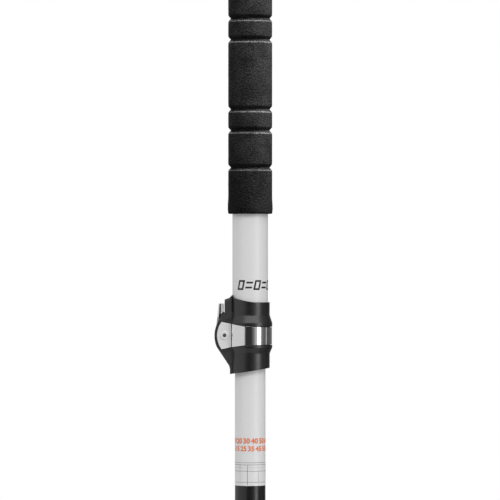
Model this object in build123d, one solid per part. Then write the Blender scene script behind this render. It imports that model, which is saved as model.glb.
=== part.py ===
from build123d import *
import os
from math import cos, radians, sin, sqrt, tan

# A telescoping avalanche probe pole, in millimetres. Its axis is Z, its point is at the origin and
# its palm knob is at the top. The lock's lever is on the -X side. The lower section is pushed in.

# Heights along the pole
LOCK_Z = 226.0              # axis of the lever's pivot
POINT_LENGTH = 17.0         # steel point that shows below its holder
HOLDER_TOP = 44.0           # where the tip holder meets the tube
SEAT_TOP = HOLDER_TOP - 10.0
SEAT_BOTTOM = SEAT_TOP - 12.0
LOWER_TUBE_TOP = LOCK_Z + 450.0
UPPER_TUBE_BOTTOM = LOCK_Z + 7.0
UPPER_TUBE_TOP = LOCK_Z + 515.0
FOAM_BOTTOM = LOCK_Z + 61.5
FOAM_TOP = LOCK_Z + 370.0
GRIP_BOTTOM = FOAM_TOP + 0.5
KNOB_BOTTOM = LOCK_Z + 505.0
RIM_BOTTOM = KNOB_BOTTOM + 7.0
RIM_TOP = RIM_BOTTOM + 8.0
SCREW_SEAT = UPPER_TUBE_TOP + 0.8

# Tubes
UPPER_R = 9.0
UPPER_WALL = 1.0
LOWER_R = 7.75
LOWER_WALL = 0.9
RUNNING = 0.05              # radial clearance of a running fit
UPPER_BORE_R = UPPER_R - UPPER_WALL
LOWER_BORE_R = LOWER_R - LOWER_WALL
RIM_CHAMFER = 0.2

# Ringed foam sleeve
FOAM_R = 11.15
RING_PITCH = 46.0           # from one pair of grooves to the next
RING_GAP = 10.7             # between the two grooves of a pair
LOWEST_RING = FOAM_BOTTOM + 23.5
FIRST_PAIR = FOAM_BOTTOM + 42.3
PAIRS = 6
RING_DEPTH = 1.2
RING_HALF = 1.5             # half the width of a groove at the surface
FOAM_LIP_R = 11.5           # rounded lip at the sleeve's lower end
FOAM_LIP = 3.5              # height of the lip above the end

# Hand grip and palm knob
GRIP_NECK_R = 11.8
KNOB_R = 19.0
PAD_R = 11.4
PAD_SEAT = 2.0              # depth of the dish that holds the pad
PAD_EDGE = 0.5              # height of the pad's straight edge above the rim
PAD_RISE = 7.0
LANYARD_R = 2.25
LANYARD_BUSH_R = 2.85
LANYARD_X = 15.0
KNOB_SCREW_R = 2.45
KNOB_SCREW_DEPTH = 16.0     # below the top of the upper tube
KNOB_HEAD_R = 4.4
KNOB_HEAD = 1.8
KNOB_RECESS_R = 5.0
INSERT_R = 3.6
INSERT_LENGTH = 18.0
HEAD_PLUG_LENGTH = 30.0

# Lock, with heights from the pivot's axis
PIVOT_X = -13.0
COLLAR_R = 9.9
SHOULDER_R = 11.2
CORE_R = 10.05              # floor of the band's recess
COLLAR_LOW = -22.0
COLLAR_HIGH = 22.0
CHEEK_Y = 3.8               # half the thickness under the band's ears
CHEEK_ROOT_Y = 4.45         # half the thickness where they leave the collar
CHEEK_ROOT_X = -9.8
SIDE_LEAN = 9.0             # degrees by which the cheeks and the boss thin towards the lever
LEVER_SLOT_Y = 2.5
SLOT_FLOOR_X = -9.9
SLOT_LOW = -12.0
BOSS_ROOT_Y = 4.65
BOSS_X = -12.95
BOSS_INNER_X = -9.4
TOP_BEVEL = 1.0             # width of the bevel along the boss's top
INNER_BEVEL = 0.5           # width of the bevel beside the collar
BEVEL_SLOPE = 0.42          # depth of the boss's bevels, as a share of their width
CREVICE_DEPTH = 0.5         # groove between the boss and the collar
BOSS_LOW = 8.9
BAND_IN_R = 10.25
BAND_OUT_R = 11.05
EAR_IN_Y = 3.95
EAR_OUT_Y = EAR_IN_Y + BAND_OUT_R - BAND_IN_R
BAND_TRAVEL = 0.35
BAND_GAP = 0.3              # between the band's edges and its recess
CREASE_X = -9.5             # groove where an ear meets the round strip
CREASE_WIDTH = 0.4
SLIT_WIDTH = 1.2            # clamping slit in the back of the collar
SLIT_TOP = 5.0
PIN_R = 1.25
PIN_HEAD_R = 2.2
PIN_HEAD = 0.5
NUT_HEIGHT = 1.2
SOCKET_CORNER_R = 1.05
SOCKET_DEPTH = 0.65
PLATE_X = -10.48            # face that the cam presses on
PLATE_HALF = 4.0
CAM_R = 1.95
CAM_OFFSET = 0.35           # eccentricity of the cam about the pivot
CAM_LEAD = 10.0             # degrees of swing before the cam's highest point
LEVER_Y = 2.3
LEVER_PAD_Y = 3.9
LEVER_TOP = 16.2
NOTCHES = 3
NOTCH_PITCH = 1.0

# Lower section's fittings
PLUG_DEPTH = 20.0           # how far a plug reaches into the lower tube
BUSH_LENGTH = 20.0
BUSH_NECK_R = 5.5
BUSH_GAP = 0.2              # end clearance of the bush on its neck
SEAT_R = 6.0
POINT_R = 4.2
SHANK_R = 2.5
SHANK_LENGTH = 13.5

LOCK = Pos(0, 0, LOCK_Z)


def pipe(outer, inner, low, high):
    """A round tube along the pole's axis."""
    wall = Cylinder(outer, high - low) - Cylinder(inner, high - low + 1)
    return Pos(0, 0, (low + high) / 2) * wall


def outer_rims(body):
    """The largest circles of a round body."""
    return body.edges().filter_by(GeomType.CIRCLE).group_by(SortBy.RADIUS)[-1]


def rod(radius, low, high):
    """A round bar along the pole's axis."""
    return Pos(0, 0, (low + high) / 2) * Cylinder(radius, high - low)


def cross_rod(radius, front, back):
    """A round bar along Y, on the lever's pivot."""
    bar = Rot(90, 0, 0) * Cylinder(radius, back - front)
    return Pos(PIVOT_X, (front + back) / 2, LOCK_Z) * bar


def turned(points, rounds=None):
    """A body of revolution from (radius, height) points; rounds gives a radius to some of them."""
    outline = make_face(Polyline(*points, close=True))
    for place, radius in (rounds or {}).items():
        corner = outline.vertices().sort_by_distance((*points[place], 0))[0]
        outline = fillet(corner, radius)
    return revolve(Plane.XZ * outline, Axis.Z)


def side_prism(outline, front, back):
    """A flat outline of the side view, in (x, height from the pivot), run along Y."""
    prism = extrude(Plane.XZ * outline, amount=back - front)
    return LOCK * Pos(0, back, 0) * prism


# Upper section


def make_upper_tube():
    """The thick tube, with its ends chamfered."""
    tube = pipe(UPPER_R, UPPER_BORE_R, UPPER_TUBE_BOTTOM, UPPER_TUBE_TOP)
    rims = tube.edges().filter_by(GeomType.CIRCLE)
    return chamfer(rims, RIM_CHAMFER)


def groove_heights():
    """Heights of the foam sleeve's grooves: one alone, then pairs, then one alone."""
    heights = [LOWEST_RING]
    for number in range(PAIRS):
        pair = FIRST_PAIR + number * RING_PITCH
        heights += [pair, pair + RING_GAP]
    return [height for height in heights if height < FOAM_TOP - RING_GAP]


def make_foam_extension():
    """The foam sleeve with its grooves."""
    outline = [
        (UPPER_R, FOAM_BOTTOM),
        (FOAM_R, FOAM_BOTTOM),
        (FOAM_LIP_R, FOAM_BOTTOM + FOAM_LIP),
        (FOAM_R, FOAM_BOTTOM + 2.5 * FOAM_LIP),
        (FOAM_R, FOAM_TOP),
        (UPPER_R, FOAM_TOP),
    ]
    sleeve = turned(outline, {1: 0.5, 2: 1.5, 4: 0.8})
    for height in groove_heights():
        section = [
            (FOAM_R, height - RING_HALF),
            (FOAM_R - RING_DEPTH, height),
            (FOAM_R, height + RING_HALF),
        ]
        sleeve -= turned(section)
    return sleeve


def make_hand_grip():
    """The thicker grip: a flared foot, a waist, a palm swell and a narrow neck under the knob."""
    side = Spline(
        (FOAM_R, GRIP_BOTTOM),
        (13.6, GRIP_BOTTOM + 4.5),
        (14.3, GRIP_BOTTOM + 10),
        (13.0, GRIP_BOTTOM + 24),
        (13.7, GRIP_BOTTOM + 46),
        (15.2, GRIP_BOTTOM + 74),
        (14.5, GRIP_BOTTOM + 98),
        (12.7, GRIP_BOTTOM + 121),
        (GRIP_NECK_R, KNOB_BOTTOM),
    )
    top = Line((GRIP_NECK_R, KNOB_BOTTOM), (UPPER_R, KNOB_BOTTOM))
    bore = Line((UPPER_R, KNOB_BOTTOM), (UPPER_R, GRIP_BOTTOM))
    bottom = Line((UPPER_R, GRIP_BOTTOM), (FOAM_R, GRIP_BOTTOM))
    outline = make_face([side, top, bore, bottom])
    return revolve(Plane.XZ * outline, Axis.Z)


def make_head_insert():
    """The plug in the top of the upper tube, with a blind hole for the threaded insert."""
    plug = rod(UPPER_BORE_R, UPPER_TUBE_TOP - HEAD_PLUG_LENGTH, UPPER_TUBE_TOP)
    plug = chamfer(plug.edges().group_by(Axis.Z)[0], 1.0)
    return plug - rod(INSERT_R, UPPER_TUBE_TOP - INSERT_LENGTH, UPPER_TUBE_TOP + 1)


def make_threaded_insert():
    """The brass insert that takes the knob's screw."""
    return pipe(INSERT_R, KNOB_SCREW_R, UPPER_TUBE_TOP - INSERT_LENGTH, UPPER_TUBE_TOP)


def make_palm_knob():
    """The knob: a neck, a round rim, a dish for the pad and a seat for the screw."""
    dish = RIM_TOP - PAD_SEAT
    outline = [
        (0, KNOB_BOTTOM),
        (GRIP_NECK_R, KNOB_BOTTOM),
        (GRIP_NECK_R, RIM_BOTTOM),
        (KNOB_R, RIM_BOTTOM),
        (KNOB_R, RIM_TOP),
        (PAD_R, RIM_TOP),
        (PAD_R, dish),
        (0, dish),
    ]
    knob = turned(outline, {3: 2.5, 4: 3.5})
    knob -= rod(UPPER_R, KNOB_BOTTOM - 1, UPPER_TUBE_TOP)
    knob -= rod(KNOB_SCREW_R + 0.3, KNOB_BOTTOM, RIM_TOP)
    knob -= rod(KNOB_RECESS_R, SCREW_SEAT, RIM_TOP)
    return knob - Pos(LANYARD_X, 0, 0) * rod(LANYARD_BUSH_R, RIM_BOTTOM - 1, RIM_TOP + 1)


def make_knob_screw():
    """The pan-head screw under the pad, with a hexagon socket."""
    screw = rod(KNOB_SCREW_R, UPPER_TUBE_TOP - KNOB_SCREW_DEPTH, SCREW_SEAT)
    screw += rod(KNOB_HEAD_R, SCREW_SEAT, SCREW_SEAT + KNOB_HEAD)
    socket = extrude(RegularPolygon(1.7, 6), amount=KNOB_HEAD)
    return screw - Pos(0, 0, SCREW_SEAT + 0.4) * socket


def make_knob_pad():
    """The soft dome that fills the knob's dish."""
    edge = RIM_TOP + PAD_EDGE
    dome_r = (PAD_R**2 + PAD_RISE**2) / (2 * PAD_RISE)
    dome = Pos(0, 0, edge + PAD_RISE - dome_r) * Sphere(dome_r)
    cap = dome & rod(PAD_R, edge, edge + PAD_RISE + 1)
    return cap + rod(PAD_R, RIM_TOP - PAD_SEAT, edge)


def make_lanyard_bush():
    """The eyelet in the knob's rim."""
    return Pos(LANYARD_X, 0, 0) * pipe(LANYARD_BUSH_R, LANYARD_R, RIM_BOTTOM, RIM_TOP)


# Lock


def collar_blank():
    """The round collar, thicker where the band sits."""
    shape = [
        (0, COLLAR_LOW),
        (COLLAR_R, COLLAR_LOW),
        (COLLAR_R, -9.2),
        (SHOULDER_R, -6.2),
        (SHOULDER_R, 6.2),
        (COLLAR_R, 10.2),
        (COLLAR_R, COLLAR_HIGH),
        (0, COLLAR_HIGH),
    ]
    return LOCK * turned(shape, {2: 2.5, 3: 1.5, 4: 1.5, 5: 2.5})


def between_edges():
    """Everything between the collar's sloping bottom edge and its curved top edge."""
    far = 2 * SHOULDER_R
    edge = make_face(
        [
            Line((-far, -21.5), (far, -14.5)),
            Line((far, -14.5), (far, 16.7)),
            Line((far, 16.7), (2.5, 16.75)),
            ThreePointArc((2.5, 16.75), (-3.2, 17.65), (-8.3, 19.0)),
            Line((-8.3, 19.0), (-9.2, 20.5)),
            Line((-9.2, 20.5), (-10.5, 18.5)),
            Line((-10.5, 18.5), (-far, 18.5)),
            Line((-far, 18.5), (-far, -21.5)),
        ]
    )
    return side_prism(edge, -far, far)


def leaning_sides(root_half):
    """Everything between two upright planes that lean in towards the lever from the collar."""
    lean = tan(radians(SIDE_LEAN))
    near = root_half + lean * 6
    far = root_half - lean * 12
    outline = make_face(
        Polyline(
            (CHEEK_ROOT_X + 6, near),
            (CHEEK_ROOT_X - 12, far),
            (CHEEK_ROOT_X - 12, -far),
            (CHEEK_ROOT_X + 6, -near),
            close=True,
        )
    )
    return LOCK * Pos(0, 0, -30) * extrude(outline, amount=60)


def cheek_blank():
    """The flat-sided block around the lever, before its slot is cut."""
    outline = make_face(
        [
            Line((-6.0, 11.6), (-13.2, 11.6)),
            Line((-13.2, 11.6), (-15.0, 10.0)),
            Line((-15.0, 10.0), (-17.0, 5.4)),
            ThreePointArc((-17.0, 5.4), (-18.1, 0.1), (-17.0, -5.8)),
            Line((-17.0, -5.8), (-10.7, -15.3)),
            Line((-10.7, -15.3), (-10.25, -17.0)),
            Line((-10.25, -17.0), (-10.25, COLLAR_LOW)),
            Line((-10.25, COLLAR_LOW), (-6.0, COLLAR_LOW)),
            Line((-6.0, COLLAR_LOW), (-6.0, 11.6)),
        ]
    )
    for corner, radius in (((-13.2, 11.6, 0), 1.6), ((-15.0, 10.0, 0), 2.0), ((-10.7, -15.3, 0), 1.5)):
        outline = fillet(outline.vertices().sort_by_distance(corner)[0], radius)
    return side_prism(outline, -COLLAR_R, COLLAR_R) & leaning_sides(CHEEK_ROOT_Y)


def rest_boss():
    """The block that the closed lever lies against."""
    outline = make_face(
        Polyline(
            (BOSS_INNER_X, BOSS_LOW - 1),
            (BOSS_X + 0.6, BOSS_LOW - 1),
            (BOSS_X, BOSS_LOW),
            (BOSS_X, 18.1),
            (-10.6, 18.9),
            (BOSS_INNER_X, 20.1),
            close=True,
        )
    )
    block = side_prism(outline, -COLLAR_R, COLLAR_R) & leaning_sides(BOSS_ROOT_Y)
    for place in (0, -1):
        side = block.faces().sort_by(Axis.Y)[place]
        top_rims = side.edges().filter_by_position(Axis.Z, LOCK_Z + 18, LOCK_Z + COLLAR_HIGH)
        block = chamfer(top_rims, TOP_BEVEL, TOP_BEVEL * BEVEL_SLOPE, reference=side)
        side = block.faces().sort_by(Axis.Y)[place]
        inner_rim = side.edges().sort_by(Axis.X)[-1]
        block = chamfer(inner_rim, INNER_BEVEL, INNER_BEVEL * BEVEL_SLOPE, reference=side)
    outer_rims = block.edges().filter_by(Axis.Z).filter_by_position(Axis.X, BOSS_X - 0.1, BOSS_X + 0.1)
    root_half = BOSS_ROOT_Y - CREVICE_DEPTH
    root = make_face(
        Polyline(
            (BOSS_INNER_X - 1, BOSS_LOW - 1),
            (BOSS_INNER_X - 1, 18.8),
            (-8.4, 18.8),
            (-8.4, BOSS_LOW - 1),
            close=True,
        )
    )
    return fillet(outer_rims, 0.3) + side_prism(root, -root_half, root_half)


def band_side(gap):
    """The band's outline in the side view, widened by a gap: tall at the ears, low behind."""
    corner_x = -14.5 - gap
    top = 6.8 + gap
    bottom = -7.0 - gap
    end = ThreePointArc((corner_x, top), (-16.75 - gap, 0), (corner_x, bottom))
    strip = Polyline(
        (corner_x, bottom),
        (-9.8, -5.95 - gap),
        (-3.0, -4.9 - gap),
        (13.0, -4.5 - gap),
        (13.0, 3.95 + gap),
        (-3.0, 4.55 + gap),
        (-9.8, 5.85 + gap),
        (corner_x, top),
    )
    return make_face([end, strip])


def band_recess():
    """The space that the band takes in the housing over its whole travel."""
    reach = 2 * SHOULDER_R
    core = Cylinder(CORE_R, 40) & Pos(BAND_TRAVEL, 0, 0) * Cylinder(CORE_R, 40)
    ring = Cylinder(reach, 40) - core
    inside_ears = Box(reach, 2 * CHEEK_Y, 40)
    ring -= Pos(SLOT_FLOOR_X - reach / 2 + 1.5, 0, 0) * inside_ears
    tall = side_prism(band_side(BAND_GAP), -reach, reach)
    return LOCK * ring & tall


def make_clamp_housing():
    """The moulded collar with its bores, lever slot, band recess, pin slots and clamping slit."""
    housing = collar_blank() + cheek_blank()
    housing &= between_edges()
    housing -= band_recess()
    housing += rest_boss()
    housing -= rod(LOWER_R + RUNNING, LOCK_Z + COLLAR_LOW, LOCK_Z + COLLAR_HIGH)
    housing -= rod(UPPER_R, UPPER_TUBE_BOTTOM, LOCK_Z + COLLAR_HIGH)
    slot_high = BOSS_LOW - 0.8
    slot = Box(12, 2 * LEVER_SLOT_Y, slot_high - SLOT_LOW)
    housing -= LOCK * Pos(SLOT_FLOOR_X - 6, 0, (SLOT_LOW + slot_high) / 2) * slot
    arm_way = Box(12, 2 * LEVER_SLOT_Y, 10)
    housing -= LOCK * Pos(BOSS_X - 6, 0, slot_high + 4) * arm_way
    for travel in (0.0, BAND_TRAVEL + 0.1):
        housing -= Pos(travel, 0, 0) * cross_rod(PIN_R + 0.1, -10, 10)
    slit = Box(SLIT_WIDTH, 12, SLIT_TOP - COLLAR_LOW)
    relief = Rot(90, 0, 0) * Cylinder(SLIT_WIDTH, 12)
    housing -= LOCK * Pos(0, 10, (SLIT_TOP + COLLAR_LOW) / 2) * slit
    housing -= LOCK * Pos(0, 10, SLIT_TOP) * relief
    return housing


def make_bearing_plate():
    """The hard plate between the cheeks that the cam presses on."""
    thickness = SLOT_FLOOR_X - PLATE_X
    plate = Box(thickness, 2 * LEVER_Y, 2 * PLATE_HALF)
    return LOCK * Pos(PLATE_X + thickness / 2, 0, 0) * plate


def make_clamp_band():
    """The band: a round strip that ends in two flat ears."""
    tall = 20.0
    ring = Cylinder(BAND_OUT_R, tall) - Cylinder(BAND_IN_R, tall)
    ring -= Pos(-10, 0, 0) * Box(20, 2 * EAR_IN_Y, tall)
    root_x = -sqrt(BAND_IN_R**2 - EAR_IN_Y**2)
    length = 18.0 + root_x
    thickness = EAR_OUT_Y - EAR_IN_Y
    middle = (EAR_IN_Y + EAR_OUT_Y) / 2
    for side in (-1, 1):
        ear = Box(length, thickness, tall)
        ring += Pos(root_x - length / 2, side * middle, 0) * ear
        crease = Box(CREASE_WIDTH, 2, tall)
        ring -= Pos(CREASE_X, side * (EAR_OUT_Y + 0.95), 0) * crease
    band = LOCK * ring & side_prism(band_side(0), -2 * BAND_OUT_R, 2 * BAND_OUT_R)
    return band - cross_rod(PIN_R, -10, 10)


def make_pivot_screw():
    """The cross screw, with a hexagon socket in its low head."""
    front = -EAR_OUT_Y
    screw = cross_rod(PIN_R, front, EAR_OUT_Y + NUT_HEIGHT - 0.2)
    screw += cross_rod(PIN_HEAD_R, front - PIN_HEAD, front)
    rim = screw.edges().filter_by(GeomType.CIRCLE).sort_by(Axis.Y)[0]
    screw = chamfer(rim, 0.25)
    hexagon = RegularPolygon(SOCKET_CORNER_R, 6, rotation=30)
    socket = extrude(Plane.XZ * hexagon, amount=1.0)
    return screw - Pos(PIVOT_X, front - PIN_HEAD + SOCKET_DEPTH, LOCK_Z) * socket


def make_pivot_nut():
    """The round nut behind the rear ear."""
    nut = cross_rod(PIN_HEAD_R, EAR_OUT_Y, EAR_OUT_Y + NUT_HEIGHT)
    nut = chamfer(nut.edges().sort_by(Axis.Y)[-1], 0.3)
    return nut - cross_rod(PIN_R, EAR_OUT_Y - 1, EAR_OUT_Y + 2)


def lever_prism(points, half_width):
    """A flat piece of the lever: points are measured from the pivot."""
    outline = make_face(Polyline(*points, close=True))
    return Pos(PIVOT_X, 0, 0) * side_prism(outline, -half_width, half_width)


def make_cam_lever():
    """The lever: cam and arm between the cheeks, a wide skin and thumb pad, and a serrated end."""
    arm = [
        (-3.0, LEVER_TOP),
        (-0.2, LEVER_TOP),
        (-0.2, 7.8),
        (1.2, 3.0),
        (0.9, 0.0),
        (0.0, -1.5),
        (-2.4, -1.5),
        (-4.0, -0.3),
        (-4.2, 4.7),
    ]
    skin = [
        (-3.0, LEVER_TOP),
        (-2.5, LEVER_TOP),
        (-2.8, 11.0),
        (-3.1, 8.4),
        (-3.8, 8.4),
    ]
    pad = [
        (-1.85, LEVER_TOP),
        (-0.2, LEVER_TOP),
        (-0.2, 12.0),
        (-0.9, 11.7),
        (-1.85, 10.6),
    ]
    skin_plate = lever_prism(skin, LEVER_PAD_Y)
    lower_corners = skin_plate.edges().filter_by(Axis.X).group_by(Axis.Z)[0]
    lever = lever_prism(arm, LEVER_Y)
    lever += fillet(lower_corners, 1.0)
    lever += lever_prism(pad, LEVER_PAD_Y)
    cam_x = PIVOT_X + CAM_OFFSET * cos(radians(CAM_LEAD))
    cam_z = LOCK_Z - CAM_OFFSET * sin(radians(CAM_LEAD))
    cam = Rot(90, 0, 0) * Cylinder(CAM_R, 2 * LEVER_Y)
    lever += Pos(cam_x, 0, cam_z) * cam
    lever -= cross_rod(PIN_R + RUNNING, -10, 10)
    for number in range(NOTCHES):
        notch_x = -2.65 + NOTCH_PITCH * number
        notch = [
            (notch_x - 0.3, LEVER_TOP + 0.1),
            (notch_x + 0.3, LEVER_TOP + 0.1),
            (notch_x, LEVER_TOP - 0.8),
        ]
        lever -= lever_prism(notch, LEVER_PAD_Y + 1)
    return lever


# Lower section


def make_lower_tube():
    """The thin tube, with its ends chamfered."""
    tube = pipe(LOWER_R, LOWER_BORE_R, HOLDER_TOP, LOWER_TUBE_TOP)
    rims = tube.edges().filter_by(GeomType.CIRCLE)
    return chamfer(rims, RIM_CHAMFER)


def make_end_plug():
    """The plug in the lower tube's top: a spigot, a neck for the guide bush and a head."""
    neck_top = LOWER_TUBE_TOP + BUSH_LENGTH + 2 * BUSH_GAP
    plug = rod(LOWER_BORE_R, LOWER_TUBE_TOP - PLUG_DEPTH, LOWER_TUBE_TOP)
    plug += rod(BUSH_NECK_R, LOWER_TUBE_TOP, neck_top)
    head = rod(LOWER_R - 0.2, neck_top, neck_top + 3)
    head = fillet(head.edges().group_by(Axis.Z)[-1], 1.0)
    return plug + head


def make_guide_bush():
    """The ring round the plug's neck that runs in the upper tube."""
    low = LOWER_TUBE_TOP + BUSH_GAP
    outer = UPPER_BORE_R - RUNNING
    bush = pipe(outer, BUSH_NECK_R + RUNNING, low, low + BUSH_LENGTH)
    return chamfer(outer_rims(bush), 0.4)


def make_tip_holder():
    """The tip holder: a spigot in the tube, a collar, the basket seat and a socket for the point."""
    shape = [
        (0, POINT_LENGTH),
        (POINT_R + 0.4, POINT_LENGTH),
        (SEAT_R - 0.4, SEAT_BOTTOM),
        (SEAT_R, SEAT_BOTTOM),
        (SEAT_R, SEAT_TOP),
        (LOWER_R, SEAT_TOP + 2.5),
        (LOWER_R, HOLDER_TOP),
        (LOWER_BORE_R, HOLDER_TOP),
        (LOWER_BORE_R, HOLDER_TOP + PLUG_DEPTH),
        (0, HOLDER_TOP + PLUG_DEPTH),
    ]
    return turned(shape) - rod(SHANK_R, POINT_LENGTH - 1, POINT_LENGTH + SHANK_LENGTH + 0.5)


def make_probe_point():
    """The steel point: a shank in the holder, a short collar and a blunted cone."""
    shape = [
        (0, 0),
        (0.7, 0),
        (POINT_R, 12.5),
        (POINT_R, POINT_LENGTH),
        (SHANK_R, POINT_LENGTH),
        (SHANK_R, POINT_LENGTH + SHANK_LENGTH),
        (0, POINT_LENGTH + SHANK_LENGTH),
    ]
    return turned(shape, {1: 0.5, 2: 1.5})


MAKERS = {
    "upper_tube": make_upper_tube,
    "foam_extension": make_foam_extension,
    "hand_grip": make_hand_grip,
    "head_insert": make_head_insert,
    "threaded_insert": make_threaded_insert,
    "palm_knob": make_palm_knob,
    "knob_screw": make_knob_screw,
    "knob_pad": make_knob_pad,
    "lanyard_bush": make_lanyard_bush,
    "clamp_housing": make_clamp_housing,
    "bearing_plate": make_bearing_plate,
    "clamp_band": make_clamp_band,
    "pivot_screw": make_pivot_screw,
    "pivot_nut": make_pivot_nut,
    "cam_lever": make_cam_lever,
    "lower_tube": make_lower_tube,
    "end_plug": make_end_plug,
    "guide_bush": make_guide_bush,
    "tip_holder": make_tip_holder,
    "probe_point": make_probe_point,
}

os.makedirs("parts", exist_ok=True)
for name, maker in MAKERS.items():
    export_step(maker(), f"parts/{name}.step")
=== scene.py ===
from math import cos, hypot, pi, radians, sin

import bmesh
import bpy
from mathutils import Matrix, Vector, noise


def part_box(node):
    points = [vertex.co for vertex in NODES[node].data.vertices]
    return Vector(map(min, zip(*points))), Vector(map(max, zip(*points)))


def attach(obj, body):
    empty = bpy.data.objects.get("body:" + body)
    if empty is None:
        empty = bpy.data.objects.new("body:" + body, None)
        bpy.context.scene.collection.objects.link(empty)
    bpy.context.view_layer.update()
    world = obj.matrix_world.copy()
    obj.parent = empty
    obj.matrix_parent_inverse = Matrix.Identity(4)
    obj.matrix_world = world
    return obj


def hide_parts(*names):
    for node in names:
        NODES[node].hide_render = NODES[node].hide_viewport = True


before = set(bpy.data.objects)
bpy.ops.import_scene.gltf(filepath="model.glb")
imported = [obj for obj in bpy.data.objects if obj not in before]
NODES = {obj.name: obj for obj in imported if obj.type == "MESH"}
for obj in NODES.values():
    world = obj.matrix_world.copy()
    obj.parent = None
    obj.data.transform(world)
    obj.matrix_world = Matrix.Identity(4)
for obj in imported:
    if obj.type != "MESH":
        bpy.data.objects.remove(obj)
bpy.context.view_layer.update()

# A telescoping probe pole, in metres. The lock's lever is on its left, at -X, and the camera is in
# front, at -Y. Heights near the lock are measured from the lever's pivot.

MM = 0.001
PIVOT_X = (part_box("pivot_screw")[0].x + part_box("pivot_screw")[1].x) / 2
PIVOT_Z = (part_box("pivot_screw")[0].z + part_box("pivot_screw")[1].z) / 2
UPPER_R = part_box("upper_tube")[1].x
LOWER_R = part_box("lower_tube")[1].x
FOAM_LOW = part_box("foam_extension")[0].z
FOAM_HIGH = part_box("foam_extension")[1].z
GRIP_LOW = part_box("hand_grip")[0].z
GRIP_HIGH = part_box("hand_grip")[1].z
PAINT_LINE = 150 * MM       # the lower tube is black below this height

# Places left of the pole's middle where the lock's finishes start to change, and are fully changed.
# Beside the lever the nylon is rougher, and its paler colour paints sheen.
SCUFFS_AND_SHEEN_START = -9.0 * MM
SCUFFS_AND_SHEEN_FULL = -9.8 * MM
EARS_START = -9.2 * MM
EARS_FULL = -10.2 * MM
# The lever's outer skin is coloured near white from here, a painted highlight.
SKIN_HIGHLIGHT_START = -15.2 * MM
SKIN_HIGHLIGHT_FULL = -15.5 * MM
CREASE_X = -9.5 * MM        # the fold between the band and its ears
CREASE_HALF = 0.2 * MM


# ---------------------------------------------------------------- node trees


def add(tree, kind, inputs=None, **settings):
    """A new node. Inputs are values or other nodes' outputs, by socket name or number."""
    node = tree.nodes.new("ShaderNode" + kind)
    for name, value in settings.items():
        setattr(node, name, value)
    for name, value in (inputs or {}).items():
        if isinstance(value, bpy.types.NodeSocket):
            tree.links.new(value, node.inputs[name])
        else:
            node.inputs[name].default_value = value
    return node


def calc(tree, operation, first, second=0.0, third=0.0):
    """The output of one Math node."""
    node = add(tree, "Math", {0: first, 1: second, 2: third}, operation=operation)
    return node.outputs[0]


def spread(tree, value, low, high, to_low=0.0, to_high=1.0):
    """The value, mapped smoothly from low...high to to_low...to_high."""
    node = add(
        tree,
        "MapRange",
        {"Value": value, "From Min": low, "From Max": high, "To Min": to_low, "To Max": to_high},
        interpolation_type="SMOOTHSTEP",
    )
    return node.outputs["Result"]


def mix(tree, factor, first, second):
    """A blend of two colours."""
    node = add(tree, "Mix", {0: factor}, data_type="RGBA")
    for socket, value in ((node.inputs[6], first), (node.inputs[7], second)):
        if isinstance(value, bpy.types.NodeSocket):
            tree.links.new(value, socket)
        else:
            socket.default_value = value
    return node.outputs[2]


def grey(level, tint=(1, 1, 1)):
    """A colour from a grey level."""
    return (level * tint[0], level * tint[1], level * tint[2], 1.0)


class Surface:
    """A Principled material under construction, with its object coordinates and its bumps."""

    def __init__(self, name, **constants):
        self.material = bpy.data.materials.new(name)
        self.material.use_nodes = True
        self.tree = self.material.node_tree
        self.shader = self.tree.nodes["Principled BSDF"]
        for socket, value in constants.items():
            self.shader.inputs[socket.replace("_", " ")].default_value = value
        self.place = add(self.tree, "TexCoord").outputs["Object"]
        self.normal = None

    def axes(self):
        """The object coordinate's x, y and z."""
        return add(self.tree, "SeparateXYZ", {0: self.place}).outputs

    def stretched(self, x, y, z):
        """The object coordinate, scaled along each axis."""
        node = add(self.tree, "Mapping", {"Vector": self.place, "Scale": (x, y, z)})
        return node.outputs["Vector"]

    def noise(self, scale, detail=2.0, roughness=0.5, place=None):
        """A noise value between 0 and 1, with scale in waves per metre."""
        values = {
            "Vector": place or self.place,
            "Scale": scale,
            "Detail": detail,
            "Roughness": roughness,
        }
        return add(self.tree, "TexNoise", values).outputs["Fac"]

    def cells(self, scale):
        """The distance to the nearest cell point, with scale in cells per metre."""
        values = {"Vector": self.place, "Scale": scale}
        return add(self.tree, "TexVoronoi", values).outputs["Distance"]

    def inside(self, low, high):
        """1 where the object coordinate lies in a box, 0 elsewhere."""
        mask = 1.0
        for value, start, end in zip(self.axes(), low, high):
            middle = (start + end) / 2
            near = calc(self.tree, "COMPARE", value, middle, (end - start) / 2)
            mask = calc(self.tree, "MULTIPLY", near, mask)
        return mask

    def round_edges(self, radius):
        """Softens the shading of sharp edges over a radius in metres."""
        self.normal = add(self.tree, "Bevel", {"Radius": radius}, samples=6).outputs["Normal"]

    def bump(self, height, depth, strength=1.0):
        """Adds a bump whose full height is depth metres; a strength below 1 softens it."""
        values = {"Height": height, "Distance": depth, "Strength": strength}
        if self.normal is not None:
            values["Normal"] = self.normal
        self.normal = add(self.tree, "Bump", values).outputs["Normal"]

    def feed(self, socket, value):
        """Joins an output to one of the shader's sockets."""
        self.tree.links.new(value, self.shader.inputs[socket])

    def done(self):
        """Joins the bumps to the shader and gives the material back."""
        if self.normal is not None:
            self.tree.links.new(self.normal, self.shader.inputs["Normal"])
        return self.material


# ---------------------------------------------------------------- materials


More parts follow.
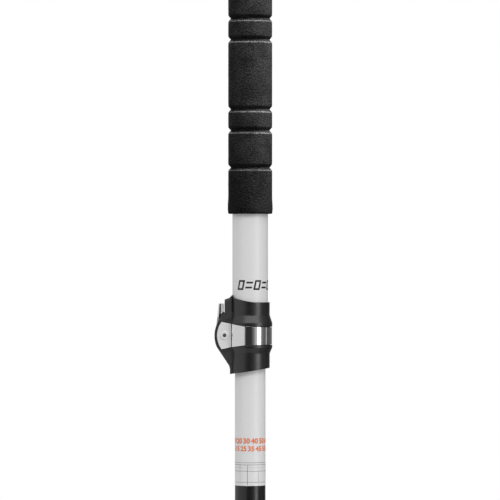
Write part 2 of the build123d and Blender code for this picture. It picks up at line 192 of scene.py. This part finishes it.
def enamel(name, paint_line=None):
    """White satin enamel with a faint orange peel, and glossy black below a paint line, if any."""
    skin = Surface(name, Coat_Weight=0.1, Coat_Roughness=0.3)
    tree = skin.tree
    mottle = skin.noise(45, detail=4)
    colour = mix(tree, mottle, grey(0.745, (1, 1, 1.004)), grey(0.775))
    rough = spread(tree, skin.noise(1400), 0.3, 0.7, 0.36, 0.46)
    if paint_line is not None:
        height = skin.axes()["Z"]
        painted = calc(tree, "LESS_THAN", height, paint_line)
        specks = spread(tree, skin.noise(5200), 0.55, 0.75)
        black = mix(tree, specks, grey(0.0075), grey(0.013))
        colour = mix(tree, painted, colour, black)
        gloss = spread(tree, skin.noise(300, detail=4), 0.3, 0.7, 0.25, 0.32)
        change = calc(tree, "SUBTRACT", gloss, rough)
        rough = calc(tree, "MULTIPLY_ADD", painted, change, rough)
    skin.feed("Base Color", colour)
    skin.feed("Roughness", rough)
    skin.bump(skin.noise(750, detail=1), 0.004 * MM)
    skin.bump(skin.noise(3800), 0.0012 * MM)
    return skin.done()


FOOT_SHADE_DEEPEST = 5 * MM          # painted shade: the sleeve is darkest up to this height above its foot
FOOT_SHADE_GONE = 50 * MM         # and the painted shade is gone from this one


def foam(name, highlight_gain=1.0):
    """Closed-cell foam: a sanded skin of fine cells, with painted shade towards the sleeve's foot.

    A copy made paler by a factor paints a highlight.
    """
    skin = Surface(name, Roughness=0.75, Specular_IOR_Level=0.04)
    tree = skin.tree
    grain = skin.noise(1500, detail=4, roughness=0.6)
    clouds = skin.noise(110, detail=3)
    tone = calc(tree, "ADD", calc(tree, "MULTIPLY", grain, 0.7), calc(tree, "MULTIPLY", clouds, 0.3))
    share = spread(tree, tone, 0.41, 0.61)
    upper = mix(tree, share, grey(0.0035 * highlight_gain), grey(0.0130 * highlight_gain))
    # Painted shade: the colour near the sleeve's foot is darker, fading out upwards.
    foot = mix(tree, share, grey(0.0014 * highlight_gain), grey(0.0074 * highlight_gain))
    rise = spread(tree, skin.axes()["Z"], FOAM_LOW + FOOT_SHADE_DEEPEST, FOAM_LOW + FOOT_SHADE_GONE)
    skin.feed("Base Color", mix(tree, rise, foot, upper))
    skin.bump(skin.cells(1350), 0.22 * MM, 0.8)
    skin.bump(skin.noise(2600, detail=3), 0.15 * MM, 0.7)
    return skin.done()


def black_nylon():
    """Moulded nylon with a fine spark-eroded grain and a low sheen; beside the lever it is scuffed
    rougher, with a paler mottled colour that paints sheen.
    """
    skin = Surface("black_nylon", Specular_IOR_Level=0.74)
    tree = skin.tree
    flow = skin.noise(160, detail=4)
    scuffs_and_sheen = spread(tree, skin.axes()["X"], SCUFFS_AND_SHEEN_START, SCUFFS_AND_SHEEN_FULL)
    # A paler mottled colour here paints sheen on the flat cheeks.
    painted_sheen_tone = spread(tree, skin.noise(900, detail=5, roughness=0.65), 0.35, 0.65, 0.006, 0.022)
    tone = mix(tree, flow, grey(0.004), grey(0.008))
    skin.feed("Base Color", mix(tree, scuffs_and_sheen, tone, painted_sheen_tone))
    polish = spread(tree, skin.noise(900, detail=4), 0.3, 0.7, 0.32, 0.39)
    skin.feed("Roughness", calc(tree, "ADD", polish, calc(tree, "MULTIPLY", scuffs_and_sheen, 0.25)))
    skin.round_edges(0.35 * MM)
    skin.bump(skin.noise(3200, detail=3), 0.02 * MM, 0.6)
    return skin.done()


def rubber():
    """Soft matt rubber with fine dust in its grain."""
    skin = Surface("soft_rubber", Specular_IOR_Level=0.35, Sheen_Weight=0.12, Sheen_Roughness=0.4)
    tree = skin.tree
    dust = spread(tree, skin.noise(260, detail=5), 0.45, 0.75)
    skin.feed("Base Color", mix(tree, dust, grey(0.016), grey(0.032)))
    skin.feed("Roughness", spread(tree, skin.noise(1300), 0.3, 0.7, 0.62, 0.78))
    skin.round_edges(0.25 * MM)
    skin.bump(skin.noise(2800, detail=3), 0.03 * MM, 0.7)
    return skin.done()


def polished_band():
    """Polished steel strip: fine rolling lines round it, painted shade along its fold, and satin
    ears.
    """
    skin = Surface("polished_steel", Metallic=1.0)
    tree = skin.tree
    lines = skin.noise(1.0, detail=4, place=skin.stretched(120, 120, 9000))
    across = skin.axes()["X"]
    # Painted shade: a thin dark, unmetallic line along the fold.
    painted_crease_shade = calc(tree, "COMPARE", across, CREASE_X, CREASE_HALF)
    bright = mix(tree, lines, grey(0.80), grey(0.88))
    skin.feed("Base Color", mix(tree, painted_crease_shade, bright, grey(0.02)))
    ears = spread(tree, across, EARS_START, EARS_FULL)
    polish = spread(tree, lines, 0.3, 0.7, 0.07, 0.13)
    skin.feed("Roughness", calc(tree, "ADD", polish, calc(tree, "MULTIPLY", ears, 0.3)))
    bare = calc(tree, "SUBTRACT", 1.0, calc(tree, "MULTIPLY", ears, 0.8))
    skin.feed("Metallic", calc(tree, "SUBTRACT", bare, painted_crease_shade))
    skin.round_edges(0.12 * MM)
    skin.bump(lines, 0.0015 * MM)
    return skin.done()


def metal(name, tone, rough, grain, depth, tint=(1, 1, 1)):
    """Bare metal, slightly uneven in tone. Its grain is in waves per metre and depth metres deep."""
    skin = Surface(name, Metallic=1.0)
    tree = skin.tree
    tarnish = skin.noise(grain / 6, detail=4)
    skin.feed("Base Color", mix(tree, tarnish, grey(tone * 0.88, tint), grey(tone * 1.06, tint)))
    skin.feed("Roughness", spread(tree, skin.noise(grain), 0.3, 0.7, rough * 0.85, rough * 1.2))
    skin.round_edges(0.15 * MM)
    skin.bump(skin.noise(grain, detail=3), depth)
    return skin.done()


# The box round the gap between the lever's outer skin and its pad, where shade is painted on the
# lever.
SHADE_BOX_LOW = (-15.95 * MM, -2.35 * MM, PIVOT_Z + 8.5 * MM)
SHADE_BOX_HIGH = (-13.25 * MM, 2.35 * MM, PIVOT_Z + 15.9 * MM)


def cast_lever():
    """Tumbled cast aluminium: speckled, with a painted highlight on its outer skin and painted shade
    between skin and pad.
    """
    skin = Surface("cast_aluminium", Metallic=0.25)
    tree = skin.tree
    speckle = spread(tree, skin.noise(1300, detail=5, roughness=0.65), 0.38, 0.62)
    tone = mix(tree, speckle, grey(0.50), grey(0.74))
    # Painted highlight: the outer skin's colour is near white.
    painted_skin_highlight = spread(tree, skin.axes()["X"], SKIN_HIGHLIGHT_START, SKIN_HIGHLIGHT_FULL)
    tone = mix(tree, painted_skin_highlight, tone, grey(0.88))
    # Painted shade: the gap between skin and pad is coloured nearly black.
    painted_recess_shade = skin.inside(SHADE_BOX_LOW, SHADE_BOX_HIGH)
    skin.feed("Base Color", mix(tree, painted_recess_shade, tone, grey(0.02)))
    skin.feed("Roughness", spread(tree, skin.noise(1500), 0.3, 0.7, 0.36, 0.48))
    skin.round_edges(0.12 * MM)
    skin.bump(skin.noise(1500, detail=3), 0.02 * MM)
    return skin.done()


SOCKET_REACH = 1.08 * MM    # just more than the socket's corners reach from its middle


def pivot_screw():
    """Satin zinc on the cross screw's head, with painted shade inside its socket."""
    skin = Surface("satin_zinc", Metallic=0.2)
    tree = skin.tree
    head_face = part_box("pivot_screw")[0].y
    reach = SOCKET_REACH
    low = (PIVOT_X - reach, head_face + 0.05 * MM, PIVOT_Z - reach)
    high = (PIVOT_X + reach, head_face + 1.0 * MM, PIVOT_Z + reach)
    # Painted shade: the inside of the socket is coloured dark grey.
    socket = skin.inside(low, high)
    tone = mix(tree, skin.noise(500, detail=4), grey(0.78), grey(0.86))
    skin.feed("Base Color", mix(tree, socket, tone, grey(0.16)))
    skin.feed("Roughness", spread(tree, skin.noise(1800), 0.3, 0.7, 0.34, 0.44))
    skin.round_edges(0.1 * MM)
    skin.bump(skin.noise(2200, detail=3), 0.003 * MM)
    return skin.done()


def natural_nylon():
    """Uncoloured nylon, waxy and a little translucent."""
    skin = Surface(
        "clear_nylon", Subsurface_Weight=0.3, Subsurface_Scale=1 * MM, Specular_IOR_Level=0.45
    )
    tree = skin.tree
    flow = skin.noise(200, detail=4)
    skin.feed("Base Color", mix(tree, flow, (0.62, 0.60, 0.53, 1), (0.72, 0.70, 0.64, 1)))
    skin.feed("Roughness", spread(tree, skin.noise(900), 0.3, 0.7, 0.38, 0.5))
    skin.round_edges(0.2 * MM)
    skin.bump(skin.noise(1800), 0.01 * MM)
    return skin.done()


def ink(name, colour):
    """Screen-printed ink: a flat colour with a slightly uneven film."""
    skin = Surface(name, Specular_IOR_Level=0.4)
    tree = skin.tree
    thin = tuple(channel * 0.8 + 0.05 for channel in colour[:3]) + (1.0,)
    film = spread(tree, skin.noise(2600, detail=3), 0.55, 0.8)
    skin.feed("Base Color", mix(tree, film, colour, thin))
    skin.feed("Roughness", spread(tree, skin.noise(1800), 0.3, 0.7, 0.38, 0.5))
    skin.bump(skin.noise(4200), 0.002 * MM)
    return skin.done()


def pale_floor():
    """A pale painted floor."""
    skin = Surface("floor", Specular_IOR_Level=0.3)
    tree = skin.tree
    skin.feed("Base Color", mix(tree, skin.noise(3, detail=4), grey(0.80), grey(0.84)))
    skin.feed("Roughness", spread(tree, skin.noise(40), 0.3, 0.7, 0.55, 0.7))
    skin.bump(skin.noise(260), 0.05 * MM)
    return skin.done()


FOAM = foam("foam")
# A paler copy of the foam that paints the highlight on each groove's lower edge.
HIGHLIGHT_FOAM = foam("painted_highlight_foam", highlight_gain=4.5)
NYLON = black_nylon()
RUBBER = rubber()
STEEL = metal("steel", tone=0.56, rough=0.26, grain=2200, depth=0.003 * MM)
TURNED = metal("turned_aluminium", tone=0.70, rough=0.30, grain=1800, depth=0.004 * MM)
BRASS = metal("brass", tone=0.62, rough=0.3, grain=2000, depth=0.003 * MM, tint=(1.15, 0.92, 0.5))
BLACK_INK = ink("black_ink", grey(0.012))
GREY_INK = ink("grey_ink", grey(0.22))
WHITE_INK = ink("white_ink", grey(0.70))
ORANGE_INK = ink("orange_ink", (0.82, 0.20, 0.06, 1.0))

NODE_MATERIALS = {
    "upper_tube": enamel("white_enamel"),
    "lower_tube": enamel("two_tone_enamel", PAINT_LINE),
    "clamp_housing": NYLON,
    "head_insert": NYLON,
    "palm_knob": NYLON,
    "end_plug": NYLON,
    "tip_holder": NYLON,
    "clamp_band": polished_band(),
    "cam_lever": cast_lever(),
    "lanyard_bush": TURNED,
    "bearing_plate": STEEL,
    "pivot_screw": pivot_screw(),
    "pivot_nut": STEEL,
    "knob_screw": STEEL,
    "probe_point": STEEL,
    "threaded_insert": BRASS,
    "guide_bush": natural_nylon(),
}
for node_name, node_material in NODE_MATERIALS.items():
    NODES[node_name].data.materials.clear()
    NODES[node_name].data.materials.append(node_material)


# ---------------------------------------------------------------- mesh pieces


def new_piece(name, mesh, material, body):
    """A mesh piece that rides on a CAD body."""
    piece = bpy.data.objects.new(name, mesh)
    bpy.context.scene.collection.objects.link(piece)
    mesh.materials.append(material)
    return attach(piece, body)


SIDES = 96                  # flats round the foam
BORE_LIMIT = 1.05 * UPPER_R     # what lies within this radius is the foam's bore
WOBBLE = 0.06 * MM          # how far the foam's skin strays from round
WAVES_ROUND = 4             # the wobble's scale round the foam, and along it per metre
WAVES_ALONG = 250


def lathe(name, outline):
    """A closed ring swept round Z from (radius, height) points, with a slightly uneven skin."""
    mesh = bpy.data.meshes.new(name)
    vertices = []
    for radius, height in outline:
        for step in range(SIDES):
            turn = 2 * pi * step / SIDES
            along = Vector((cos(turn), sin(turn), 0))
            place = Vector((along.x * WAVES_ROUND, along.y * WAVES_ROUND, height * WAVES_ALONG))
            shift = WOBBLE * noise.noise(place)
            reach = radius + (shift if radius > BORE_LIMIT else 0.0)
            vertices.append(along * reach + Vector((0, 0, height)))
    rows = len(outline)
    faces = []
    for row in range(rows):
        lower = row * SIDES
        upper = (row + 1) % rows * SIDES
        for step in range(SIDES):
            beside = (step + 1) % SIDES
            faces.append((lower + step, lower + beside, upper + beside, upper + step))
    mesh.from_pydata(vertices, [], faces)
    mesh.validate()
    for face in mesh.polygons:
        face.use_smooth = True
    return mesh


GROOVE_HALF = 1.5 * MM      # half the width of a groove
SOFTNESS = 0.18             # how round the shoulders of a groove are
GROOVE_STEPS = (0.0, 0.12, 0.35, 0.6, 0.78, 0.88, 0.96, 1.04, 1.12, 1.24, 1.45, 1.9)
CORNER = 0.7 * MM           # radius of the foam's end corners
CORNER_STEPS = 8
ROW_PITCH = 2.5 * MM        # between rows of points where the foam is plain


def groove(distance, depth):
    """How far a V groove with round shoulders cuts in, at a distance from its middle."""
    inward = 1 - abs(distance) / GROOVE_HALF
    soft = (inward + hypot(inward, SOFTNESS)) / 2
    return depth * soft if inward > -1 else 0.0


def row_heights(low, high, marks):
    """Heights from low to high: evenly spaced, and close together at the grooves and both ends."""
    found = {low, high}
    for mark in marks:
        for share in GROOVE_STEPS:
            found |= {mark - share * GROOVE_HALF, mark + share * GROOVE_HALF}
    for number in range(1, CORNER_STEPS + 1):
        inset = 2 * CORNER * (number / CORNER_STEPS) ** 2
        found |= {low + inset, high - inset}
    count = int((high - low) / ROW_PITCH)
    for number in range(1, count):
        height = low + (high - low) * number / count
        if all(abs(height - mark) > 2 * GROOVE_HALF for mark in marks):
            found.add(height)
    return sorted(height for height in found if low <= height <= high)


SLEEVE_R = 11.15 * MM
LIP_R = 11.5 * MM
LIP_HEIGHT = 3.5 * MM       # where the lip at the sleeve's foot is fullest
LIP_HALF = 1.4 * LIP_HEIGHT
GROOVE_DEPTH = 1.3 * MM
FIRST_GROOVE = FOAM_LOW + 23.5 * MM
FIRST_PAIR = FOAM_LOW + 42.3 * MM
PAIR_PITCH = 46 * MM
PAIR_GAP = 10.7 * MM
HIGHLIGHT_START = 0.86         # the painted highlight below a groove, in half widths from its middle
HIGHLIGHT_END = 1.2


def groove_marks():
    """Heights of the sleeve's grooves: one alone, then pairs."""
    marks = [FIRST_GROOVE]
    start = FIRST_PAIR
    while start < FOAM_HIGH - PAIR_GAP:
        marks += [start, start + PAIR_GAP]
        start += PAIR_PITCH
    return [mark for mark in marks if mark < FOAM_HIGH - PAIR_GAP]


def sleeve_radius(height, marks):
    """The foam sleeve's radius: a lip at the bottom, grooves, and a rounded corner at each end."""
    up = height - FOAM_LOW
    down = FOAM_HIGH - height
    lip = (LIP_R - SLEEVE_R) * max(0.0, 1 - abs(up - LIP_HEIGHT) / LIP_HALF) ** 1.5
    radius = SLEEVE_R + lip
    for end in (up, down):
        if end < CORNER:
            radius -= CORNER - (CORNER**2 - (CORNER - end) ** 2) ** 0.5
    for mark in marks:
        radius -= groove(height - mark, GROOVE_DEPTH)
    return radius


def foam_sleeve():
    """The ringed foam sleeve, with its second material, a painted highlight, on the lower edge of
    each groove.
    """
    marks = groove_marks()
    outline = [(UPPER_R, FOAM_LOW)]
    for height in row_heights(FOAM_LOW, FOAM_HIGH, marks):
        outline.append((sleeve_radius(height, marks), height))
    outline.append((UPPER_R, FOAM_HIGH))
    mesh = lathe("foam_sleeve", outline)
    for face in mesh.polygons:
        below = [(mark - face.center.z) / GROOVE_HALF for mark in marks]
        outside = hypot(face.center.x, face.center.y) > BORE_LIMIT
        if outside and any(HIGHLIGHT_START < share < HIGHLIGHT_END for share in below):
            face.material_index = 1
    return mesh


# Heights above the hand grip's foot, with its radius at each, in millimetres.
GRIP_SHAPE = [
    (0.0, 11.15),
    (4.5, 13.6),
    (10.0, 14.3),
    (24.0, 13.0),
    (46.0, 13.7),
    (74.0, 15.2),
    (98.0, 14.5),
    (121.0, 12.7),
    (134.5, 11.8),
]
BEFORE_GRIP = (-3.0, 9.0)   # where its curve would go on, past each end
AFTER_GRIP = (146.5, 11.2)
FINGER_GROOVES = (20, 30, 40)
FINGER_DEPTH = 0.7 * MM


def grip_radius(up):
    """The hand grip's radius at a height above its foot, by a smooth curve through its shape."""
    points = [BEFORE_GRIP] + GRIP_SHAPE + [AFTER_GRIP]
    for number in range(1, len(points) - 2):
        (h0, r0), (h1, r1), (h2, r2), (h3, r3) = points[number - 1:number + 3]
        if up <= h2 or number == len(points) - 3:
            share = (up - h1) / (h2 - h1)
            first = (r2 - r0) / (h2 - h0) * (h2 - h1)
            last = (r3 - r1) / (h3 - h1) * (h2 - h1)
            curve = (2 * share**3 - 3 * share**2 + 1) * r1 + (share**3 - 2 * share**2 + share) * first
            return curve + (3 * share**2 - 2 * share**3) * r2 + (share**3 - share**2) * last


def foam_grip():
    """The thicker hand grip, with three rounded finger grooves at its waist."""
    marks = [GRIP_LOW + height * MM for height in FINGER_GROOVES]
    outline = [(UPPER_R, GRIP_LOW)]
    for height in row_heights(GRIP_LOW, GRIP_HIGH, marks):
        radius = grip_radius((height - GRIP_LOW) / MM) * MM
        for mark in marks:
            radius -= groove(height - mark, FINGER_DEPTH)
        outline.append((radius, height))
    outline.append((UPPER_R, GRIP_HIGH))
    return lathe("foam_grip", outline)


DOME_RISE = 7.0 * MM        # from the dome's edge to its top
DOME_RINGS = 64
DOME_SIDES = 128
DOT_HEIGHT = 0.25 * MM
DOT_PITCH = 1.9 * MM
DOT_R = 0.35 * DOT_PITCH


def pad_dome():
    """The knob's rubber pad: a dome with rings of low dots, whose tops touch the CAD dome."""
    low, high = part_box("knob_pad")
    reach = high.x
    edge = high.z - DOME_RISE
    dome_r = (reach**2 + DOME_RISE**2) / (2 * DOME_RISE)
    mesh = bpy.data.meshes.new("pad_dome")
    build = bmesh.new()
    sides = DOME_SIDES
    rows = []
    for ring in range(DOME_RINGS + 1):
        out = reach * (1 - ring / DOME_RINGS)
        height = edge - dome_r + DOME_RISE + (dome_r**2 - out**2) ** 0.5 - DOT_HEIGHT
        row = []
        for step in range(sides if ring < DOME_RINGS else 1):
            turn = 2 * pi * step / sides
            lift = dot_lift(out, turn, reach)
            row.append(build.verts.new((out * cos(turn), out * sin(turn), height + lift)))
        rows.append(row)
    base = [build.verts.new((vert.co.x, vert.co.y, low.z)) for vert in rows[0]]
    for lower, upper in zip([base] + rows[:-2], rows[:-1]):
        for step in range(sides):
            beside = (step + 1) % sides
            build.faces.new((lower[step], lower[beside], upper[beside], upper[step]))
    for step in range(sides):
        build.faces.new((rows[-2][step], rows[-2][(step + 1) % sides], rows[-1][0]))
    build.faces.new(list(reversed(base)))
    for face in build.faces:
        face.smooth = True
    build.to_mesh(mesh)
    build.free()
    return mesh


def dot_lift(out, turn, reach):
    """How high the dots stand at a place on the dome: one in the middle, then rings of 6, 12, 18."""
    ring = round(out / DOT_PITCH)
    if ring * DOT_PITCH > reach - 0.8 * DOT_PITCH:
        return 0.0
    away = out
    if ring > 0:
        count = 6 * ring
        nearest = round(turn * count / (2 * pi)) * 2 * pi / count
        away = hypot(out - ring * DOT_PITCH, ring * DOT_PITCH * (turn - nearest))
    return DOT_HEIGHT * max(0.0, 1 - (away / DOT_R) ** 2)


sleeve = new_piece("foam_sleeve", foam_sleeve(), FOAM, "upper_section")
sleeve.data.materials.append(HIGHLIGHT_FOAM)
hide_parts("foam_extension")

grip = new_piece("foam_grip", foam_grip(), FOAM, "upper_section")
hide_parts("hand_grip")

pad = new_piece("palm_pad", pad_dome(), RUBBER, "upper_section")
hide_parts("knob_pad")


# ---------------------------------------------------------------- printed marks

INK_HEIGHT = 0.016 * MM     # how far the ink stands off its tube
INK_THICKNESS = 0.012 * MM
DIGIT_SHARE = 0.69          # a digit's height as a share of the font's size
BEND_STEP = radians(3)      # widest strip of print that stays flat


def polygon(build, points):
    """A flat face from (x, z) points."""
    build.faces.new([build.verts.new((x, 0, z)) for x, z in points])


def block(build, x, z, width, height, slant=0.0):
    """A flat parallelogram: its lower left corner is at x, z."""
    lean = slant * height
    polygon(build, [(x, z), (x + width, z), (x + width + lean, z + height), (x + lean, z + height)])


def numeral(build, digits, x, z, height, weight=0.0, gap=1.0):
    """Flat numerals: their lower left corner is at x, z. The strokes grow by weight on each side."""
    curve = bpy.data.curves.new("numeral", "FONT")
    curve.body = digits
    curve.size = height / DIGIT_SHARE
    curve.offset = weight
    curve.space_word = gap
    curve.resolution_u = 3
    shape = bpy.data.objects.new("numeral", curve)
    bpy.context.scene.collection.objects.link(shape)
    bpy.context.view_layer.update()
    mesh = bpy.data.meshes.new_from_object(shape)
    low = min(vert.co.x for vert in mesh.vertices)
    mesh.transform(Matrix.Translation((x - low, 0, z)) @ Matrix.Rotation(pi / 2, 4, "X"))
    build.from_mesh(mesh)
    bpy.data.objects.remove(shape)
    bpy.data.curves.remove(curve)
    bpy.data.meshes.remove(mesh)


def print_on(name, draw, radius, azimuth, material, body, *details):
    """Wraps a flat drawing round a tube. Its x = 0 is at the azimuth: 0 is the front, 90 the right.

    The details are handed on to the function that draws.
    """
    build = bmesh.new()
    draw(build, *details)
    reach = max(abs(vert.co.x) for vert in build.verts)
    count = int(reach / (radius * BEND_STEP)) + 1
    for number in range(-count, count + 1):
        everything = build.verts[:] + build.edges[:] + build.faces[:]
        place = (number * radius * BEND_STEP, 0, 0)
        bmesh.ops.bisect_plane(build, geom=everything, plane_co=place, plane_no=(1, 0, 0), dist=1e-8)
    bmesh.ops.triangulate(build, faces=build.faces[:])
    top = radius + INK_HEIGHT
    for vert in build.verts:
        turn = vert.co.x / radius + radians(azimuth)
        vert.co = Vector((top * sin(turn), -top * cos(turn), vert.co.z))
    bmesh.ops.recalc_face_normals(build, faces=build.faces[:])
    for face in build.faces:
        face.normal_update()
        if face.normal.dot(face.calc_center_median() * Vector((1, 1, 0))) < 0:
            face.normal_flip()
        face.smooth = True
    mesh = bpy.data.meshes.new(name)
    build.to_mesh(mesh)
    build.free()
    piece = new_piece(name, mesh, material, body)
    film = piece.modifiers.new("film", "SOLIDIFY")
    film.thickness = INK_THICKNESS
    film.offset = -1.0
    return piece


MARK_HEIGHT = 5.0 * MM
MARK_WIDTH = 3.4 * MM
MARK_PITCH = 4.3 * MM
MARK_LINE = 0.9 * MM
MARK_LOW = PIVOT_Z + 23.0 * MM
MARK_COUNT = 6
BAR_HEIGHTS = (0.8 * MM, 3.3 * MM)
SLANT = 0.22                # how far the marks lean, as a share of their height


def hollow_mark(build, x, z, width, height, line):
    """A slanted parallelogram drawn as an outline."""
    outer = [(0, 0), (width, 0), (width, height), (0, height)]
    inner = [(line, line), (width - line, line), (width - line, height - line), (line, height - line)]
    rings = []
    for ring in (outer, inner):
        rings.append([build.verts.new((x + along + SLANT * up, 0, z + up)) for along, up in ring])
    for side in range(4):
        beside = (side + 1) % 4
        build.faces.new((rings[0][side], rings[0][beside], rings[1][beside], rings[1][side]))


def slanted_marks(build):
    """The upper tube's mark: slanted outlines, with pairs of bars between them."""
    for number in range(MARK_COUNT):
        x = number * MARK_PITCH
        if number % 2:
            for up in BAR_HEIGHTS:
                block(build, x + SLANT * up, MARK_LOW + up, MARK_WIDTH, MARK_LINE, SLANT)
        else:
            hollow_mark(build, x, MARK_LOW, MARK_WIDTH, MARK_HEIGHT, MARK_LINE)


def number_rows(build):
    """Two rows of tens and fives round the lower tube."""
    upper = PIVOT_Z - 54.5 * MM
    lower = PIVOT_Z - 58.4 * MM
    numeral(build, "10 20 30 40 50 60 70", 0.0, upper, 2.5 * MM, weight=0.15 * MM, gap=0.6)
    numeral(build, "5 15 25 35 45 55 65 75", 0.0, lower, 2.4 * MM, weight=0.13 * MM, gap=0.6)


# The blank table's lines in millimetres: a level line's height and thickness, and an upright line's
# place across, lower end, upper end and thickness.
TABLE_LOW = PIVOT_Z - 74.3 * MM
TABLE_WIDTH = 0.64 * 2 * pi * LOWER_R
LEVEL_LINES = [(9.9, 0.2), (8.8, 0.22), (7.4, 0.07), (5.6, 0.2), (0.0, 0.18)]
UPRIGHT_LINES = [
    (-1.5, -1.2, 8.9, 0.22),
    (4.2, 0.0, 5.6, 0.14),
    (-5.6, 0.0, 8.9, 0.07),
    (12.0, 0.0, 9.9, 0.2),
]


def blank_table(build):
    """Thin lines of a blank table: level lines round most of the tube, and upright ones."""
    for level, line in LEVEL_LINES:
        block(build, -TABLE_WIDTH / 2, TABLE_LOW + level * MM, TABLE_WIDTH, line * MM)
    for x, start, end, line in UPRIGHT_LINES:
        block(build, x * MM, TABLE_LOW + start * MM, line * MM, (end - start) * MM)


NUMBER_X = -3.6 * MM        # a depth number's left edge
NUMBER_RISE = 1.3 * MM      # from its tick to its foot
NUMBER_HEIGHT = 4.0 * MM


def depth_scale(build, first, last):
    """Centimetres above the point: a tick at each, and a longer one with a number at each fifth."""
    for centimetre in range(first, last + 1):
        height = centimetre * 10 * MM
        if centimetre % 5:
            tick(build, height, 4.0 * MM, 0.4 * MM)
        else:
            tick(build, height, 8.0 * MM, 0.6 * MM)
            numeral(build, str(centimetre), NUMBER_X, height + NUMBER_RISE, NUMBER_HEIGHT)


def tick(build, height, length, line):
    """A level line at a height, across the middle of the print."""
    block(build, -length / 2, height - line / 2, length, line)


print_on("upper_marks", slanted_marks, UPPER_R, -45, BLACK_INK, "upper_section")
print_on("orange_numbers", number_rows, LOWER_R, -86, ORANGE_INK, "lower_section")
print_on("grey_table", blank_table, LOWER_R, 0, GREY_INK, "lower_section")

# The depth scale is white on the black paint, from 5 to 14 cm, and grey above it, from 16 to 60 cm.
print_on("depth_scale_low", depth_scale, LOWER_R, 180, WHITE_INK, "lower_section", 5, 14)
print_on("depth_scale_high", depth_scale, LOWER_R, 180, GREY_INK, "lower_section", 16, 60)


# ---------------------------------------------------------------- studio

VIEW_WIDTH = 253.5 * MM     # what the picture shows across, at the pole
VIEW_DISTANCE = 2.1
VIEW_CENTRE = Vector((-0.1 * MM, 0, PIVOT_Z + 43.2 * MM))
SENSOR = 36                 # width of the camera's sensor in millimetres


def camera():
    """A level camera with a long lens, straight in front."""
    data = bpy.data.cameras.new("camera")
    data.sensor_width = SENSOR
    data.lens = SENSOR * VIEW_DISTANCE / VIEW_WIDTH
    data.clip_end = 50
    eye = bpy.data.objects.new("camera", data)
    eye.location = VIEW_CENTRE + Vector((0, -VIEW_DISTANCE, 0))
    eye.rotation_euler = (pi / 2, 0, 0)
    bpy.context.scene.collection.objects.link(eye)
    bpy.context.scene.camera = eye


# How bright the studio's walls are at each azimuth in degrees: 0 is the front, 90 the right.
WALL_TONES = [
    (-180, 0.35),
    (-140, 0.45),
    (-122, 0.68),
    (-32, 0.66),
    (-25, 0.03),
    (6, 0.03),
    (20, 0.18),
    (32, 0.52),
    (60, 0.40),
    (68, 0.16),
    (91, 0.09),
    (93.5, 0.72),
    (95.5, 0.72),
    (98, 0.09),
    (130, 0.10),
    (180, 0.35),
]


def studio_world():
    """A white background and roof, and walls that are pale on the left and dark in front."""
    world = bpy.data.worlds.new("studio")
    world.use_nodes = True
    tree = world.node_tree
    tree.nodes.clear()
    facing = add(tree, "TexCoord").outputs["Generated"]
    x, y, z = add(tree, "SeparateXYZ", {0: facing}).outputs
    azimuth = calc(tree, "ARCTAN2", x, calc(tree, "MULTIPLY", y, -1.0))
    share = calc(tree, "ADD", calc(tree, "DIVIDE", azimuth, 2 * pi), 0.5)
    walls = add(tree, "ValToRGB", {0: share})
    ramp = walls.color_ramp
    while len(ramp.elements) > 1:
        ramp.elements.remove(ramp.elements[0])
    ramp.elements[0].position = (WALL_TONES[0][0] + 180) / 360
    ramp.elements[0].color = grey(WALL_TONES[0][1])
    for angle, level in WALL_TONES[1:]:
        ramp.elements.new((angle + 180) / 360).color = grey(level)
    roof = spread(tree, z, 0.45, 0.65)
    lit = mix(tree, roof, walls.outputs["Color"], grey(1.0))
    seen = add(tree, "LightPath").outputs["Is Camera Ray"]
    colour = mix(tree, seen, lit, grey(1.0))
    background = add(tree, "Background", {"Color": colour, "Strength": 1.0})
    output = add(tree, "OutputWorld", {"Surface": background.outputs[0]})
    output.is_active_output = True
    bpy.context.scene.world = world


def softbox(name, azimuth, elevation, distance, width, tall, glow):
    """A soft light that faces the lock from a direction in degrees; glow is its face's brightness."""
    data = bpy.data.lights.new(name, "AREA")
    data.shape = "RECTANGLE"
    data.size = width
    data.size_y = tall
    data.energy = glow * pi * width * tall
    lamp = bpy.data.objects.new(name, data)
    turn = radians(azimuth)
    rise = radians(elevation)
    away = Vector((sin(turn) * cos(rise), -cos(turn) * cos(rise), sin(rise)))
    lamp.location = Vector((0, 0, PIVOT_Z)) + away * distance
    lamp.rotation_euler = away.to_track_quat("Z", "Y").to_euler()
    lamp.visible_camera = False
    bpy.context.scene.collection.objects.link(lamp)
    return lamp


def light_only(lamp, *pieces):
    """Lets a light fall on these pieces only."""
    receivers = bpy.data.collections.new(lamp.name + "_pieces")
    for piece in pieces:
        receivers.objects.link(piece)
    lamp.light_linking.receiver_collection = receivers


def floor():
    """A round pale floor under the point."""
    mesh = bpy.data.meshes.new("floor")
    build = bmesh.new()
    bmesh.ops.create_circle(build, cap_ends=True, segments=96, radius=200 * MM)
    build.to_mesh(mesh)
    build.free()
    mesh.materials.append(pale_floor())
    disc = bpy.data.objects.new("floor", mesh)
    bpy.context.scene.collection.objects.link(disc)


camera()
studio_world()
softbox(
    "main_softbox", azimuth=47.8, elevation=4, distance=1.5, width=0.46, tall=1.6, glow=3.15
)
softbox("top_softbox", azimuth=5, elevation=42, distance=1.5, width=1.7, tall=0.5, glow=2.9)
foam_side = softbox(
    "foam_side", azimuth=82, elevation=55, distance=0.7, width=0.3, tall=0.4, glow=53.0
)
foam_front = softbox(
    "foam_front", azimuth=20, elevation=83, distance=0.92, width=0.4, tall=0.4, glow=105.0
)
foam_back = softbox(
    "foam_back", azimuth=188, elevation=45, distance=0.9, width=0.6, tall=0.4, glow=30.0
)

# The foam is nearly black, so the last three light nothing but the foam.
light_only(foam_front, sleeve)
light_only(foam_side, sleeve, grip)
light_only(foam_back, sleeve, grip)
floor()
bpy.context.scene.view_settings.view_transform = "Standard"
